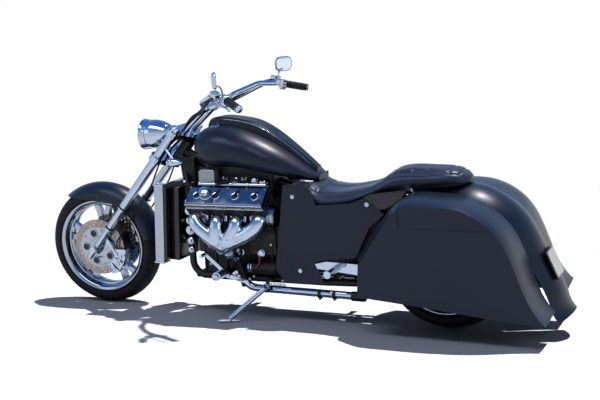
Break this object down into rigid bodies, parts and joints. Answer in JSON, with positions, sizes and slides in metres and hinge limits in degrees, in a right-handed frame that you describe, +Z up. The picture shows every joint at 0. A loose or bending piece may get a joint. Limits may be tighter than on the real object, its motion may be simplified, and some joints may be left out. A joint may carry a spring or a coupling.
{
  "type": "cruiser motorcycle",
  "caption": "Long low V8 cruiser motorcycle with hard saddlebags, teardrop tank, pull-back bar and split-spoke wheels, leaning on its side stand.",
  "frame": {"origin": "centre of the footprint's bounding box, on the floor", "axes": "+X towards the front wheel, +Y towards the machine's left, the side it leans to, +Z up"},
  "size_m": [2.9858, 1.0435, 1.4062],
  "materials": {
    "tyre": "matt black tread rubber",
    "chrome": "bright chrome plate",
    "alloy": "polished aluminium",
    "rotor": "ground steel with a warm tint",
    "black_paint": "satin black paint",
    "black_steel": "black powder coat",
    "cast": "black painted casting",
    "rubber": "black rubber",
    "leather": "smooth black leather",
    "glass": "clear lens",
    "plate": "blank pressed plate",
    "gloss": "gloss black moulding"
  },
  "bodies": {
    "chassis": {"air_box": "black_steel", "alternator": "alloy", "engine_block": "cast", "exhaust_left": "chrome", "exhaust_right": "chrome", "front_drive": "black_steel", "fuel_tank": "black_paint", "gearbox": "cast", "header_left": "chrome", "header_right": "chrome", "intake_manifold": "alloy", "license_plate": "plate", "main_frame": "black_steel", "radiator": "alloy", "radiator_hoses": "rubber", "radiator_shroud": "gloss", "rear_axle": "chrome", "rear_caliper": "chrome", "rear_fender": "black_paint", "rear_pegs": "chrome", "rider_controls_left": "chrome", "rider_controls_right": "chrome", "saddlebag_left": "black_paint", "saddlebag_right": "black_paint", "seat": "leather", "seat_pods": "gloss", "side_cover_left": "black_paint", "side_cover_right": "black_paint", "stand_bracket": "black_steel", "swingarm": "black_steel", "tank_console": "black_paint", "valve_cover_left": "chrome", "valve_cover_right": "chrome"},
    "front_wheel": {"front_tyre": "tyre", "front_rim": "alloy", "front_rotors": "rotor"},
    "rear_wheel": {"rear_tyre": "tyre", "rear_rim": "alloy", "rear_rotor": "rotor", "rear_pulley": "black_steel"},
    "steer": {"front_axle": "chrome", "fork_legs": "chrome", "triple_clamps": "chrome", "handlebar": "chrome", "grip_left": "rubber", "grip_right": "rubber", "controls_left": "chrome", "controls_right": "chrome", "mirror_left": "chrome", "mirror_right": "chrome", "headlight": "chrome", "headlight_lens": "glass", "front_signals": "chrome", "front_fender": "black_paint", "front_calipers": "chrome", "brake_lines": "rubber"},
    "stand": {"side_stand": "chrome"},
    "lid_left": {"lid_left": "black_paint"},
    "lid_right": {"lid_right": "black_paint"}
  },
  "joints": [
    {"name": "steering_hinge", "type": "hinge", "parent": "chassis", "child": "steer", "pos_m": [1.10467, -0.08796, 0.30147], "axis": [-0.6534, 0.0955, 0.7509], "range_deg": [-27.5, 22.5]},
    {"name": "front_wheel_spin", "type": "hinge", "parent": "steer", "child": "front_wheel", "pos_m": [1.15005, -0.08042, 0.33999], "axis": [-0.033, 0.9875, -0.1544], "continuous": true},
    {"name": "rear_wheel_spin", "type": "hinge", "parent": "chassis", "child": "rear_wheel", "pos_m": [-0.87991, -0.08422, 0.33087], "axis": [0, 0.992, -0.1262], "continuous": true},
    {"name": "stand_hinge", "type": "hinge", "parent": "chassis", "child": "stand", "pos_m": [0.04509, 0.11042, 0.17304], "axis": [-0.0309, 0.8689, 0.4941], "range_deg": [0, 115]},
    {"name": "lid_left_hinge", "type": "hinge", "parent": "chassis", "child": "lid_left", "pos_m": [-0.87991, 0.36517, 0.53529], "axis": [-1, 0, 0], "range_deg": [0, 78]},
    {"name": "lid_right_hinge", "type": "hinge", "parent": "chassis", "child": "lid_right", "pos_m": [-0.87991, -0.46811, 0.64129], "axis": [1, 0, 0], "range_deg": [0, 78]}
  ]
}
